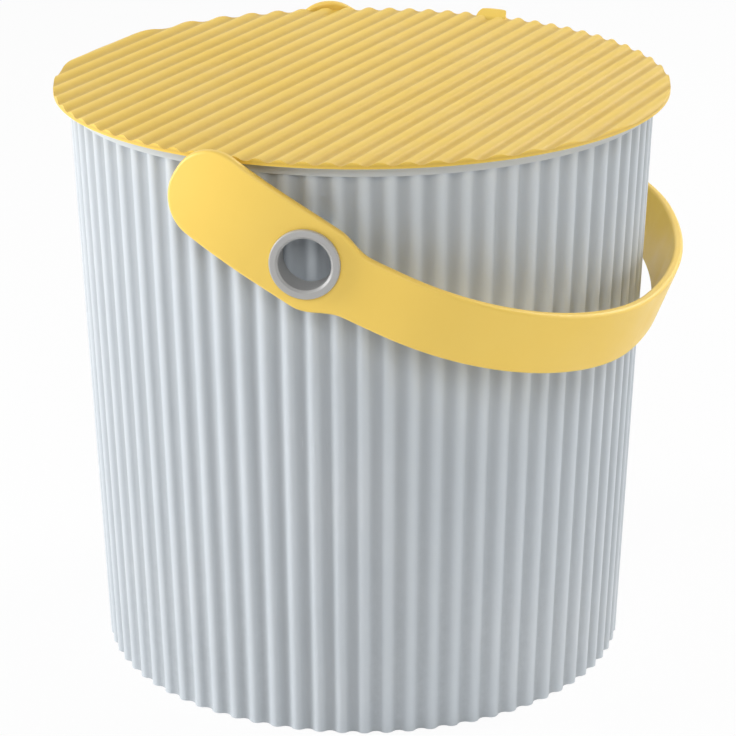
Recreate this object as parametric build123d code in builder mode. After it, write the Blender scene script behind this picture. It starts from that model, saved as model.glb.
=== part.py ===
from build123d import *
from math import asin, atan2, cos, degrees, radians, sin, sqrt, tan
import os

# Household bucket with a ribbed wall, a ribbed lift-off lid and a strap handle that swings
# on two hollow pivot rings. Millimetres. The origin is the centre of the foot on the floor,
# +Z is up, the pivot axis runs along Y and the handle hangs towards +X.

# Bucket wall: vertical ribs, each a round crest and a round groove of equal width
rib_count = 76
ribs_top_radius = 124.4
wall_taper = 8.6
ribs_height = 245.5
rib_depth = 2.0
wall_thickness = 2.2

# Smooth rim band above the ribs
rim_height = 4.8
rim_proud = 0.4
rim_edge_radius = 0.8

# Base plate, held clear of the floor by the foot of the wall
foot_recess = 4.0
base_thickness = 2.6

# Hollow bosses on the wall, which hold the handle's pivot rings just clear of the lid's edge
pivot_drop = 36.6
boss_past_lid = 0.7
boss_wall = 2.75
boss_bore_radius = 12.25

# Pivot rings: a hollow shank pushed into the boss and a flange that keeps the strap on
shank_clearance = 0.05
shank_wall = 1.7
shank_grip = 6.0
flange_overlap = 1.7
flange_thickness = 1.9
flange_edge_radius = 0.7
flange_chamfer = 0.9

# Strap handle: a flat band bent into a bow, with a wide rounded plate beyond each pivot
strap_thickness = 4.0
strap_width = 26.4
strap_play = 0.3
strap_pivot_clearance = 0.1
bow_past_lid = 9.3
bow_top_setback = 99.7
bow_corner_setback = 38.0
bow_side_bend_radius = 475.0
bow_side_bend_start = 1.0
bow_tilt = 5.6
end_plate_width = 36.8
end_plate_reach = 61.5
end_plate_flat = 2.8
end_plate_bend_radius = 125.0
end_plate_bend_start = 15.0
end_plate_cant = 4.9
shoulder_start = 4.0
shoulder_length = 19.0
strap_edge_radius = 1.3
droop_angle = 117.0

# Lid: a thin plate with straight ribs right across it and a locating skirt below
lid_overhang = 6.2
lid_web = 1.2
lid_rib_depth = 1.4
lid_rib_pitch = 9.06
lid_rib_direction = 73.3
skirt_clearance = 0.6
skirt_thickness = 2.2
skirt_height = 8.0
skirt_edge_radius = 0.8

# Upturned lip on the lid's edge, over the groove beside the middle rib, to lift the lid by
lip_width = 14.0
lip_proud = 2.8
lip_rise = 2.1
lip_thickness = 1.9
lip_root = 6.0
lip_corner_radius = 5.0


def wall_radius(height):
    """Crest radius of the ribbed wall at a height above the floor."""
    return ribs_top_radius - wall_taper * (1 - height / ribs_height)


# Worked out from the sizes above
rib_step = 360 / rib_count
rim_top = ribs_height + rim_height
rim_radius = ribs_top_radius + rim_proud
mouth_radius = ribs_top_radius - rib_depth - wall_thickness
floor_level = foot_recess + base_thickness
lid_radius = rim_radius + lid_overhang
pivot_height = rim_top - pivot_drop
boss_radius = boss_bore_radius + boss_wall
boss_face = lid_radius + boss_past_lid
boss_root = boss_face - wall_radius(pivot_height) + rib_depth + wall_thickness
strap_middle = boss_face + strap_play + strap_thickness / 2
flange_back = boss_face + strap_thickness + 2 * strap_play
shank_radius = boss_bore_radius - shank_clearance
strap_hole_radius = shank_radius + strap_pivot_clearance
ring_bore_radius = shank_radius - shank_wall
flange_radius = strap_hole_radius + flange_overlap
shank_end = boss_face - shank_grip
lid_thickness = lid_web + lid_rib_depth
skirt_radius = mouth_radius - skirt_clearance
bow_reach = lid_radius + bow_past_lid
bow_top_radius = bow_reach + bow_top_setback
bow_corner_radius = strap_middle - bow_corner_setback
end_plate_corner_radius = (end_plate_width - end_plate_flat) / 2


def around(radius, angle):
    """Point on a circle about the bucket's axis."""
    return (radius * cos(radians(angle)), radius * sin(radians(angle)))


def rib_wave(crest_radius):
    """Closed wave round the wall, with a crest on each row axis."""
    middle = crest_radius - rib_depth / 2
    groove = crest_radius - rib_depth
    with BuildSketch() as wave:
        with BuildLine():
            for rib in range(rib_count):
                crest = rib * rib_step
                rising = around(middle, crest - rib_step / 4)
                falling = around(middle, crest + rib_step / 4)
                following = around(middle, crest + 3 * rib_step / 4)
                ThreePointArc(rising, around(crest_radius, crest), falling)
                ThreePointArc(falling, around(groove, crest + rib_step / 2), following)
        make_face()
    return wave.sketch


def ribbed_cone(low, high, inset):
    """Part of the tapered ribbed body between two heights, moved in by an inset."""
    with BuildPart() as cone:
        with BuildSketch(Plane.XY.offset(low)):
            add(rib_wave(wall_radius(low) - inset))
        with BuildSketch(Plane.XY.offset(high)):
            add(rib_wave(wall_radius(high) - inset))
        loft(ruled=True)
    return cone.part


def side_plane(side, distance):
    """Plane across the pivot axis at a distance from the bucket's axis, facing outwards."""
    return Plane(
        origin=(0, side * distance, pivot_height), x_dir=(-side, 0, 0), z_dir=(0, side, 0)
    )


# Bucket: ribbed wall, rim band, raised base and the two pivot bosses in one moulding
ribbed_body = ribbed_cone(0, ribs_height, 0)
cavity = ribbed_cone(floor_level, ribs_height, wall_thickness)
foot_hollow = ribbed_cone(0, foot_recess, wall_thickness)
with BuildPart() as bucket:
    add(ribbed_body)
    for side in (-1, 1):
        with BuildSketch(side_plane(side, boss_face)):
            Circle(boss_radius)
            Circle(boss_bore_radius, mode=Mode.SUBTRACT)
        extrude(amount=-boss_root)
    with BuildSketch(Plane.XY.offset(ribs_height)):
        Circle(rim_radius)
    extrude(amount=rim_height)
    with BuildSketch(Plane.XY.offset(ribs_height)):
        Circle(mouth_radius)
    extrude(amount=rim_height, mode=Mode.SUBTRACT)
    add(cavity, mode=Mode.SUBTRACT)
    add(foot_hollow, mode=Mode.SUBTRACT)

    top_edges = bucket.edges().filter_by(GeomType.CIRCLE).group_by(Axis.Z)[-1]
    fillet(top_edges, rim_edge_radius)

bucket.part.label = "bucket"
os.makedirs("parts", exist_ok=True)
export_step(bucket.part, "parts/bucket.step")


# Lid: ribbed plate, skirt and lifting lip in one moulding
rib_along = (*around(1, lid_rib_direction), 0)
rib_across = (-rib_along[1], rib_along[0], 0)
rib_section_plane = Plane(origin=(0, 0, rim_top), x_dir=rib_across, z_dir=rib_along)
lip_offset = lid_rib_pitch / 2
lip_origin = (-rib_across[0] * lip_offset, -rib_across[1] * lip_offset, rim_top)
lip_section_plane = Plane(
    origin=lip_origin, x_dir=rib_along, z_dir=(-rib_across[0], -rib_across[1], 0)
)
lip_plan_plane = Plane(origin=lip_origin, x_dir=rib_along, z_dir=(0, 0, 1))
ribs_each_side = int(lid_radius / lid_rib_pitch) + 1
lid_rib_middle = lid_web + lid_rib_depth / 2

with BuildPart() as lip:
    with BuildSketch(lip_section_plane):
        with BuildLine():
            lip_foot = Line((lid_radius - lip_root, 0), (lid_radius, 0))
            lip_outside = RadiusArc(lip_foot @ 1, (lid_radius + lip_proud, lip_proud), -lip_proud)
            lip_tip = (lid_radius + lip_proud, lid_thickness + lip_rise)
            lip_inside = (lip_tip[0] - lip_thickness, lip_tip[1])
            lip_root_top = (lid_radius - lip_root, lid_web)
            Polyline(lip_outside @ 1, lip_tip, lip_inside, lip_root_top, lip_foot @ 0)
        make_face()
    extrude(amount=lip_width / 2, both=True)
    with BuildSketch(lip_plan_plane):
        with Locations((lid_radius + lip_proud - lip_width, 0)):
            RectangleRounded(2 * lip_width, lip_width, lip_corner_radius)
    extrude(amount=lid_thickness + lip_rise, mode=Mode.INTERSECT)

with BuildPart() as lid:
    with BuildSketch(rib_section_plane):
        with BuildLine():
            for rib in range(-ribs_each_side, ribs_each_side + 1):
                crest = rib * lid_rib_pitch
                rising = (crest - lid_rib_pitch / 4, lid_rib_middle)
                falling = (crest + lid_rib_pitch / 4, lid_rib_middle)
                following = (crest + 3 * lid_rib_pitch / 4, lid_rib_middle)
                ThreePointArc(rising, (crest, lid_thickness), falling)
                ThreePointArc(falling, (crest + lid_rib_pitch / 2, lid_web), following)
            wave_start = (-(ribs_each_side + 1 / 4) * lid_rib_pitch, lid_rib_middle)
            Polyline(following, (following[0], 0), (wave_start[0], 0), wave_start)
        make_face()
    extrude(amount=lid_radius, both=True)
    with BuildSketch(Plane.XY.offset(rim_top)):
        Circle(lid_radius)
    extrude(amount=lid_thickness, mode=Mode.INTERSECT)
    with BuildSketch(Plane.XY.offset(rim_top)):
        Circle(skirt_radius)
        Circle(skirt_radius - skirt_thickness, mode=Mode.SUBTRACT)
    extrude(amount=-skirt_height)
    skirt_edges = lid.edges().filter_by(GeomType.CIRCLE).group_by(Axis.Z)[0]
    fillet(skirt_edges, skirt_edge_radius)
    add(lip.part)

lid.part.label = "lid"
export_step(lid.part, "parts/lid.step")


# Handle: the bow seen along its width, cut to the outline seen along the pivot axis
droop = radians(droop_angle)
pivot_centre = (0, 0, pivot_height)
strap_across = (cos(droop), 0, -sin(droop))
tilted_across = (
    cos(droop) + tan(radians(bow_tilt)) * sin(droop),
    0,
    tan(radians(bow_tilt)) * cos(droop) - sin(droop),
)
bow_plane = Plane(origin=pivot_centre, x_dir=(0, 1, 0), z_dir=strap_across)
outline_plane = Plane(origin=pivot_centre, x_dir=strap_across, z_dir=(0, -1, 0))
corner_rise = sqrt((bow_top_radius - bow_corner_radius) ** 2 - bow_corner_setback**2)
corner_along = corner_rise - bow_top_setback
corner_turn = degrees(atan2(corner_rise, bow_corner_setback))
plate_centre_across = strap_middle - end_plate_bend_radius

# The bow's section and its outline run past each other so that each trims the other cleanly
end_overrun = strap_width
band_half_width = end_plate_width + strap_width
outline_depth = strap_middle + strap_thickness
plate_run = end_plate_reach + end_overrun - end_plate_bend_start
plate_turn = degrees(asin(plate_run / end_plate_bend_radius))


def off(centre, radius, angle):
    """Point at a radius and angle from a centre."""
    across, along = around(radius, angle)
    return (centre[0] + across, centre[1] + along)


def bow_area(shift):
    """Area inside the bow and its end plates, up to a line shifted out from their middle."""
    corner_centre = (bow_corner_setback, corner_along)
    plate_centre = (plate_centre_across, -end_plate_bend_start)
    corner = bow_corner_radius + shift
    plate = end_plate_bend_radius + shift
    tip = off(plate_centre, plate, -plate_turn)
    bend = off(plate_centre, plate, -plate_turn / 2)
    root = off(plate_centre, plate, 0)
    corner_low = off(corner_centre, corner, 0)
    corner_middle = off(corner_centre, corner, corner_turn / 2)
    corner_high = off(corner_centre, corner, corner_turn)
    top = (0, bow_reach + shift)
    with BuildSketch() as area:
        with BuildLine():
            ThreePointArc(tip, bend, root)
            Line(root, corner_low)
            ThreePointArc(corner_low, corner_middle, corner_high)
            RadiusArc(corner_high, top, -(bow_top_radius + shift))
            Polyline(top, (0, tip[1]), tip)
        make_face()
        mirror(about=Plane.YZ)
    return area.sketch


outer_bow = bow_area(strap_thickness / 2)
inner_bow = bow_area(-strap_thickness / 2)
bend_centre = (-bow_side_bend_radius, bow_side_bend_start)
shoulder_run = shoulder_start + shoulder_length - bow_side_bend_start
shoulder_turn = degrees(asin(shoulder_run / bow_side_bend_radius))
bow_run = bow_reach + end_overrun - bow_side_bend_start
bow_end_turn = degrees(asin(bow_run / bow_side_bend_radius))


def on_plate(across, along):
    """Point of the end plate's outline, which is canted about the pivot."""
    return off(off((0, 0), along, 90 - end_plate_cant), across, -end_plate_cant)


def strap_edge(edge, turn):
    """Point of a strap edge, which bends sideways about one centre."""
    return off(bend_centre, bow_side_bend_radius + edge, turn)


with BuildPart() as strap_handle:
    with BuildSketch(bow_plane):
        add(outer_bow)
        add(inner_bow, mode=Mode.SUBTRACT)
    extrude(amount=band_half_width, dir=tilted_across, both=True)
    with BuildSketch(outline_plane):
        with BuildLine():
            for edge in (-1, 1):
                half_plate = edge * end_plate_width / 2
                half_strap = edge * strap_width / 2
                inner_corner = half_plate - edge * end_plate_corner_radius
                corner_height = end_plate_corner_radius - end_plate_reach
                corner_centre = on_plate(inner_corner, corner_height)
                plate_top = on_plate(half_plate, shoulder_start)
                plate_low = on_plate(half_plate, corner_height)
                plate_end = on_plate(inner_corner, -end_plate_reach)
                bulge_turn = -end_plate_cant - edge * 90 / 2
                bulge = off(corner_centre, edge * end_plate_corner_radius, bulge_turn)
                shoulder_end = strap_edge(half_strap, shoulder_turn)
                bow_middle = strap_edge(half_strap, bow_end_turn / 2)
                ThreePointArc(plate_end, bulge, plate_low)
                Line(plate_low, plate_top)
                Spline(
                    plate_top,
                    shoulder_end,
                    tangents=[around(1, 90 - end_plate_cant), around(1, 90 + shoulder_turn)],
                )
                ThreePointArc(shoulder_end, bow_middle, strap_edge(half_strap, bow_end_turn))
            Line(
                strap_edge(-strap_width / 2, bow_end_turn),
                strap_edge(strap_width / 2, bow_end_turn),
            )
            Line(
                on_plate(end_plate_corner_radius - end_plate_width / 2, -end_plate_reach),
                on_plate(end_plate_width / 2 - end_plate_corner_radius, -end_plate_reach),
            )
        make_face()
    extrude(amount=outline_depth, both=True, mode=Mode.INTERSECT)
    fillet(strap_handle.edges(), strap_edge_radius)
    with BuildSketch(outline_plane):
        Circle(strap_hole_radius)
    extrude(amount=outline_depth, both=True, mode=Mode.SUBTRACT)

strap_handle.part.label = "strap_handle"
export_step(strap_handle.part, "parts/strap_handle.step")


# Pivot rings: one on each boss, outside the handle's end plate
for side, name in ((-1, "pivot_ring_front"), (1, "pivot_ring_back")):
    with BuildPart() as pivot_ring:
        with BuildSketch(side_plane(side, shank_end)):
            Circle(shank_radius)
        extrude(amount=flange_back - shank_end)
        with BuildSketch(side_plane(side, flange_back)):
            Circle(flange_radius)
        extrude(amount=flange_thickness)
        face_rim = pivot_ring.faces().sort_by(Axis.Y)[-1 if side > 0 else 0].edges()
        fillet(face_rim, flange_edge_radius)
        with BuildSketch(side_plane(side, shank_end)):
            Circle(ring_bore_radius)
        extrude(amount=flange_back - shank_end + flange_thickness, mode=Mode.SUBTRACT)
        face = pivot_ring.faces().filter_by(GeomType.PLANE).sort_by(Axis.Y)[-1 if side > 0 else 0]
        chamfer(face.edges().sort_by(SortBy.RADIUS)[0], flange_chamfer)
    pivot_ring.part.label = name
    export_step(pivot_ring.part, f"parts/{name}.step")
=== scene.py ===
import math

import bmesh
import bpy
from mathutils import Matrix, Vector


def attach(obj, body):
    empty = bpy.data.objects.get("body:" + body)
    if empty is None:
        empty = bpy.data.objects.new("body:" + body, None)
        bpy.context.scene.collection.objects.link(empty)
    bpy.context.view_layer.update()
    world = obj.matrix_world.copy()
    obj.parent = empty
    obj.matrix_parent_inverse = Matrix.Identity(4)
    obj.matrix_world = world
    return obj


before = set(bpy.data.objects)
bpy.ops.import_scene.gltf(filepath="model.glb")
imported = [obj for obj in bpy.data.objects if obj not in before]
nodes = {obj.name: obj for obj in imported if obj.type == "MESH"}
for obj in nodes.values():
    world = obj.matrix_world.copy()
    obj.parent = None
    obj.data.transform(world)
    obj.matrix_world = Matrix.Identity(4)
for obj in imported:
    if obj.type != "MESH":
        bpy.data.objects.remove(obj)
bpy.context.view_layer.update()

WHITE = (1, 1, 1)

# The CAD's rib sizes in metres, from which the materials find the hollows between the ribs and
# paint shade into them

WALL_RIB_DEPTH = 0.0020
FOOT_HOLLOW_RADIUS = 0.1138
WALL_TAPER = 0.0086
WALL_RIBS_HEIGHT = 0.2455
WALL_SLOPE = WALL_TAPER / WALL_RIBS_HEIGHT
LID_RIB_DEPTH = 0.0014
LID_HOLLOW_HEIGHT = 0.2515

# What all the moulded plastics share: noise scales per metre, depths in metres

DRIFT_SCALE = 14.0
DRIFT_STOPS = (0.30, 0.5, 0.72)
SCUFF_SCALE = 240.0
SCUFF_RANGE = (0.40, 0.62)
WORN_POINTINESS = (0.515, 0.60)
GLOSS_PATCH_SCALE = 46.0
GLOSS_PATCH_RANGE = (0.3, 0.7)
ROUGHNESS_BELOW = 0.06
ROUGHNESS_ABOVE = 0.07
WAVINESS_SCALE = 60.0
WAVINESS_DEPTH = 0.00012
WAVINESS_STRENGTH = 0.5
GRAIN_STRENGTH = 0.6

# Colour sockets of the Mix node, which has one set for each kind of data

MIX_FIRST = 6
MIX_SECOND = 7
MIX_RESULT = 2


# Nodes

def set_input(tree, socket, value):
    """Link a value that comes from another node, or write a plain one on the socket."""
    if isinstance(value, bpy.types.NodeSocket):
        tree.links.new(value, socket)
    else:
        socket.default_value = value


def maths(tree, operation, *values):
    node = tree.nodes.new("ShaderNodeMath")
    node.operation = operation
    for socket, value in zip(node.inputs, values):
        set_input(tree, socket, value)
    return node.outputs["Value"]


def mix_colours(tree, share, first, second, kind="MIX"):
    node = tree.nodes.new("ShaderNodeMix")
    node.data_type = "RGBA"
    node.blend_type = kind
    set_input(tree, node.inputs["Factor"], share)
    set_input(tree, node.inputs[MIX_FIRST], first)
    set_input(tree, node.inputs[MIX_SECOND], second)
    return node.outputs[MIX_RESULT]


def mix_shaders(tree, share, first, second):
    node = tree.nodes.new("ShaderNodeMixShader")
    for socket, source in zip(node.inputs, (share, first, second)):
        tree.links.new(source, socket)
    return node.outputs["Shader"]


def object_place(tree):
    """The object's own coordinates, in metres."""
    return tree.nodes.new("ShaderNodeTexCoord").outputs["Object"]


def noise(tree, scale, detail, roughness=0.5):
    grain = tree.nodes.new("ShaderNodeTexNoise")
    grain.inputs["Scale"].default_value = scale
    grain.inputs["Detail"].default_value = detail
    grain.inputs["Roughness"].default_value = roughness
    tree.links.new(object_place(tree), grain.inputs["Vector"])
    return grain.outputs["Fac"]


def ramp(tree, factor, stops):
    """Colour ramp over a factor; stops are (position, colour)."""
    node = tree.nodes.new("ShaderNodeValToRGB")
    while len(node.color_ramp.elements) < len(stops):
        node.color_ramp.elements.new(0.5)
    for element, (position, colour) in zip(node.color_ramp.elements, stops):
        element.position = position
        element.color = (*colour, 1)
    tree.links.new(factor, node.inputs["Fac"])
    return node.outputs["Color"]


def spread_range(tree, factor, source, target):
    """Spread a factor's source range, (low, high), over a target range."""
    node = tree.nodes.new("ShaderNodeMapRange")
    ends = zip(("From Min", "From Max", "To Min", "To Max"), (*source, *target))
    for end, value in ends:
        node.inputs[end].default_value = value
    tree.links.new(factor, node.inputs["Value"])
    return node.outputs["Result"]


def bump(tree, height, distance, strength, under=None):
    node = tree.nodes.new("ShaderNodeBump")
    node.inputs["Strength"].default_value = strength
    node.inputs["Distance"].default_value = distance
    tree.links.new(height, node.inputs["Height"])
    if under is not None:
        tree.links.new(under, node.inputs["Normal"])
    return node.outputs["Normal"]


def background(tree, colour, strength):
    node = tree.nodes.new("ShaderNodeBackground")
    node.inputs["Color"].default_value = (*colour, 1)
    node.inputs["Strength"].default_value = strength
    return node.outputs["Background"]


def seen_rays(tree, share):
    """Share of the plain white backdrop in what the camera and clear reflections see."""
    path = tree.nodes.new("ShaderNodeLightPath")
    reflected = maths(
        tree, "MAXIMUM", path.outputs["Is Glossy Ray"], path.outputs["Is Transmission Ray"]
    )
    seen = maths(tree, "MAXIMUM", path.outputs["Is Camera Ray"], reflected)
    return maths(tree, "MULTIPLY", seen, share)


# Materials

def new_material(name):
    material = bpy.data.materials.new(name)
    material.use_nodes = True
    tree = material.node_tree
    tree.nodes.clear()
    shader = tree.nodes.new("ShaderNodeBsdfPrincipled")
    output = tree.nodes.new("ShaderNodeOutputMaterial")
    tree.links.new(shader.outputs["BSDF"], output.inputs["Surface"])
    return material, tree, shader


def object_axes(tree):
    """x, y and z of the object's own coordinates."""
    split = tree.nodes.new("ShaderNodeSeparateXYZ")
    tree.links.new(object_place(tree), split.inputs["Vector"])
    return [split.outputs[axis] for axis in "XYZ"]


def away_from_hollow(tree, level, hollow, depth):
    """0 where a level is a hollow's own, and 1 from a rib's depth away on either side."""
    away = maths(tree, "DIVIDE", maths(tree, "SUBTRACT", level, hollow), depth)
    return maths(tree, "MINIMUM", maths(tree, "ABSOLUTE", away), 1.0)


def wall_ribs(tree):
    """0 in the hollows of the ribbed wall, on both of its sides, and 1 on the crests: the mask
    for the painted shade in the hollows.
    """
    x, y, z = object_axes(tree)
    square = maths(tree, "MULTIPLY_ADD", x, x, maths(tree, "MULTIPLY", y, y))
    hollow = maths(tree, "MULTIPLY_ADD", z, WALL_SLOPE, FOOT_HOLLOW_RADIUS)
    return away_from_hollow(tree, maths(tree, "SQRT", square), hollow, WALL_RIB_DEPTH)


def lid_ribs(tree):
    """0 in the hollows between the lid's ribs and 1 on their crests: the mask for the painted
    shade in the hollows.
    """
    z = object_axes(tree)[2]
    return away_from_hollow(tree, z, LID_HOLLOW_HEIGHT, LID_RIB_DEPTH)


def moulded_plastic(
    name, colour, deep, pale, roughness, grain_scale, grain_depth, wear,
    ribs=None, hollow_painted_shade=WHITE,
):
    """Spark grain, slow colour drift, patchy gloss, rubbed edges and painted shade in the rib
    hollows.
    """
    material, tree, shader = new_material(name)

    drift = noise(tree, DRIFT_SCALE, detail=3.0)
    base = ramp(tree, drift, tuple(zip(DRIFT_STOPS, (deep, colour, pale))))
    # Painted shade: the base colour is darkened in the rib hollows, standing in for the shade
    # that falls there
    if ribs is not None:
        shade = ramp(tree, ribs(tree), ((0.0, hollow_painted_shade), (1.0, WHITE)))
        base = mix_colours(tree, 1.0, base, shade, "MULTIPLY")

    pointiness = tree.nodes.new("ShaderNodeNewGeometry").outputs["Pointiness"]
    edges = spread_range(tree, pointiness, WORN_POINTINESS, (0.0, 1.0))
    scuff = noise(tree, SCUFF_SCALE, detail=6.0, roughness=0.7)
    scuffed = spread_range(tree, scuff, SCUFF_RANGE, (0.0, wear))
    rubbed = maths(tree, "MULTIPLY", edges, scuffed)
    worn = mix_colours(tree, rubbed, base, (*pale, 1))
    tree.links.new(worn, shader.inputs["Base Color"])

    patches = noise(tree, GLOSS_PATCH_SCALE, detail=5.0, roughness=0.6)
    dull = (roughness - ROUGHNESS_BELOW, roughness + ROUGHNESS_ABOVE)
    tree.links.new(
        spread_range(tree, patches, GLOSS_PATCH_RANGE, dull), shader.inputs["Roughness"]
    )

    slow = noise(tree, WAVINESS_SCALE, detail=2.0)
    wavy = bump(tree, slow, WAVINESS_DEPTH, WAVINESS_STRENGTH)
    fine = noise(tree, grain_scale, detail=2.0)
    grained = bump(tree, fine, grain_depth, GRAIN_STRENGTH, wavy)
    tree.links.new(grained, shader.inputs["Normal"])
    return material


# The wall's hollow tint of 0.70 is painted shade: the rib hollows are 30% darker in colour
bucket_plastic = moulded_plastic(
    "bucket_plastic",
    colour=(0.60, 0.645, 0.685), deep=(0.585, 0.63, 0.67), pale=(0.63, 0.67, 0.705),
    roughness=0.42, grain_scale=2600.0, grain_depth=0.00004, wear=0.3,
    ribs=wall_ribs, hollow_painted_shade=(0.70, 0.70, 0.70),
)

# The lid's hollow tint is painted shade: the grooves between the lid's ribs are darkened in
# colour
lid_plastic = moulded_plastic(
    "lid_plastic",
    colour=(0.93, 0.64, 0.104), deep=(0.915, 0.625, 0.098), pale=(0.945, 0.66, 0.118),
    roughness=0.44, grain_scale=2400.0, grain_depth=0.00004, wear=0.15,
    ribs=lid_ribs, hollow_painted_shade=(0.74, 0.69, 0.54),
)

handle_plastic = moulded_plastic(
    "handle_plastic",
    colour=(0.94, 0.645, 0.12), deep=(0.93, 0.635, 0.115), pale=(0.95, 0.665, 0.135),
    roughness=0.42, grain_scale=2200.0, grain_depth=0.00003, wear=0.5,
)

# The ring is grey plastic; its slight warmth is painted light, standing in for yellow light
# bounced from the strap
ring_plastic = moulded_plastic(
    "ring_plastic",
    colour=(0.44, 0.435, 0.425), deep=(0.42, 0.415, 0.405), pale=(0.47, 0.465, 0.455),
    roughness=0.38, grain_scale=2600.0, grain_depth=0.00003, wear=0.5,
)

for name, material in (
    ("bucket", bucket_plastic),
    ("lid", lid_plastic),
    ("strap_handle", handle_plastic),
    ("pivot_ring_front", ring_plastic),
    ("pivot_ring_back", ring_plastic),
):
    nodes[name].data.materials.clear()
    nodes[name].data.materials.append(material)


# Moulding beads under the base and the lid, where the photograph shows nothing

BASE_UNDERSIDE = 0.0040
LID_UNDERSIDE = 0.2503
BEAD_RADII = (0.004, 0.030, 0.062, 0.090)
BEAD_HALF_WIDTH = 0.0012
BEAD_DEPTH = 0.0006
BEAD_SINK = 0.0001
BEAD_STEPS = 120
BEAD_SECTION = 8


def beads(name, level, body, material):
    """Half-round rings that hang from a level face, each a closed ring sunk slightly into it."""
    shape = bmesh.new()
    for radius in BEAD_RADII:
        rings = []
        for step in range(BEAD_STEPS):
            turn = 2 * math.pi * step / BEAD_STEPS
            ring = []
            for corner in range(BEAD_SECTION + 1):
                angle = math.pi * corner / BEAD_SECTION
                reach = radius + BEAD_HALF_WIDTH * math.cos(angle)
                height = level + BEAD_SINK - (BEAD_DEPTH + BEAD_SINK) * math.sin(angle)
                point = (reach * math.cos(turn), reach * math.sin(turn), height)
                ring.append(shape.verts.new(point))
            rings.append(ring)
        for ring, following in zip(rings, rings[1:] + rings[:1]):
            for corner in range(BEAD_SECTION + 1):
                other = (corner + 1) % (BEAD_SECTION + 1)
                shape.faces.new((ring[corner], ring[other], following[other], following[corner]))
    bmesh.ops.recalc_face_normals(shape, faces=shape.faces)
    for face in shape.faces:
        face.smooth = True
    mesh = bpy.data.meshes.new(name)
    shape.to_mesh(mesh)
    shape.free()
    piece = bpy.data.objects.new(name, mesh)
    bpy.context.collection.objects.link(piece)
    mesh.materials.append(material)
    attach(piece, body)


beads("base_beads", BASE_UNDERSIDE, "bucket_body", bucket_plastic)
beads("lid_beads", LID_UNDERSIDE, "lid_body", lid_plastic)


# Floor, which keeps the shadow and otherwise shows as the white backdrop

FLOOR_SIZE = 8
FLOOR_DROP = 0.0003
FLOOR_COLOUR = (0.90, 0.90, 0.90)
FLOOR_ROUGHNESS = 0.9
FLOOR_SPECULAR = 0.1
FLOOR_WHITENESS = 0.94

bpy.ops.mesh.primitive_plane_add(size=FLOOR_SIZE, location=(0, 0, -FLOOR_DROP))
floor = bpy.context.object
floor.name = "floor"
floor_paint, tree, shader = new_material("floor_paint")
shader.inputs["Base Color"].default_value = (*FLOOR_COLOUR, 1)
shader.inputs["Roughness"].default_value = FLOOR_ROUGHNESS
shader.inputs["Specular IOR Level"].default_value = FLOOR_SPECULAR
white = tree.nodes.new("ShaderNodeEmission")
white.inputs["Color"].default_value = (*WHITE, 1)
white.inputs["Strength"].default_value = 1.0
floor_surface = mix_shaders(
    tree, seen_rays(tree, FLOOR_WHITENESS), shader.outputs["BSDF"], white.outputs["Emission"]
)
tree.links.new(floor_surface, tree.nodes["Material Output"].inputs["Surface"])
floor.data.materials.append(floor_paint)


# Light: the world looks white and lights the bucket weakly, and five soft lamps do the rest

SKY_LIGHT_COLOUR = (0.98, 0.99, 1.0)
SKY_LIGHT_STRENGTH = 0.15

world = bpy.data.worlds.new("studio")
bpy.context.scene.world = world
world.use_nodes = True
tree = world.node_tree
tree.nodes.clear()
sky = tree.nodes.new("ShaderNodeOutputWorld")
lit = background(tree, SKY_LIGHT_COLOUR, SKY_LIGHT_STRENGTH)
seen = background(tree, WHITE, 1.0)
tree.links.new(mix_shaders(tree, seen_rays(tree, 1.0), lit, seen), sky.inputs["Surface"])


def lamp(name, place, target, width, height, power):
    """A white soft box at a place, turned towards a target, with its power in watts."""
    light = bpy.data.lights.new(name, "AREA")
    light.shape = "RECTANGLE"
    light.size = width
    light.size_y = height
    light.energy = power
    holder = bpy.data.objects.new(name, light)
    bpy.context.collection.objects.link(holder)
    holder.location = place
    aim = Vector(target) - Vector(place)
    holder.rotation_euler = aim.to_track_quat("-Z", "Y").to_euler()


lamp("key", (-1.68, -0.40, 0.62), (0, 0, 0.15), width=0.6, height=1.0, power=26)
lamp("fill", (1.67, -0.02, 0.30), (0, 0, 0.13), width=0.7, height=0.5, power=5.6)
lamp("high", (1.15, 0.95, 1.10), (0, 0, 0.2), width=1.0, height=0.8, power=17)
lamp("front", (0.15, -1.92, 1.48), (0, 0, 0.15), width=1.1, height=0.9, power=18)
lamp("top", (0.1, 0.4, 2.0), (0, 0, 0.2), width=1.2, height=1.1, power=3)


# Camera, solved from the photograph

AZIMUTH = math.radians(9.34)
ELEVATION = math.radians(20.7466)
DISTANCE = 1.16498
AIM_HEIGHT = 0.12
YAW = math.radians(-0.1220)
ROLL = math.radians(-0.1340)
FOCAL_PIXELS = 2621.18
FRAME_PIXELS = 736
SENSOR_WIDTH = 36.0
CLIP_END = 50.0

place = Vector((
    DISTANCE * math.cos(ELEVATION) * math.sin(AZIMUTH),
    -DISTANCE * math.cos(ELEVATION) * math.cos(AZIMUTH),
    AIM_HEIGHT + DISTANCE * math.sin(ELEVATION),
))
forward = Matrix.Rotation(YAW, 3, "Z") @ (Vector((0, 0, AIM_HEIGHT)) - place).normalized()
right = forward.cross(Vector((0, 0, 1))).normalized()
up = right.cross(forward)
right, up = (
    math.cos(ROLL) * right + math.sin(ROLL) * up,
    -math.sin(ROLL) * right + math.cos(ROLL) * up,
)
camera_data = bpy.data.cameras.new("camera")
camera_data.sensor_width = SENSOR_WIDTH
camera_data.lens = FOCAL_PIXELS * SENSOR_WIDTH / FRAME_PIXELS
camera_data.clip_end = CLIP_END
camera = bpy.data.objects.new("camera", camera_data)
bpy.context.collection.objects.link(camera)
camera.matrix_world = Matrix((
    (right.x, up.x, -forward.x, place.x),
    (right.y, up.y, -forward.y, place.y),
    (right.z, up.z, -forward.z, place.z),
    (0, 0, 0, 1),
))
bpy.context.scene.camera = camera
bpy.context.scene.view_settings.view_transform = "Standard"
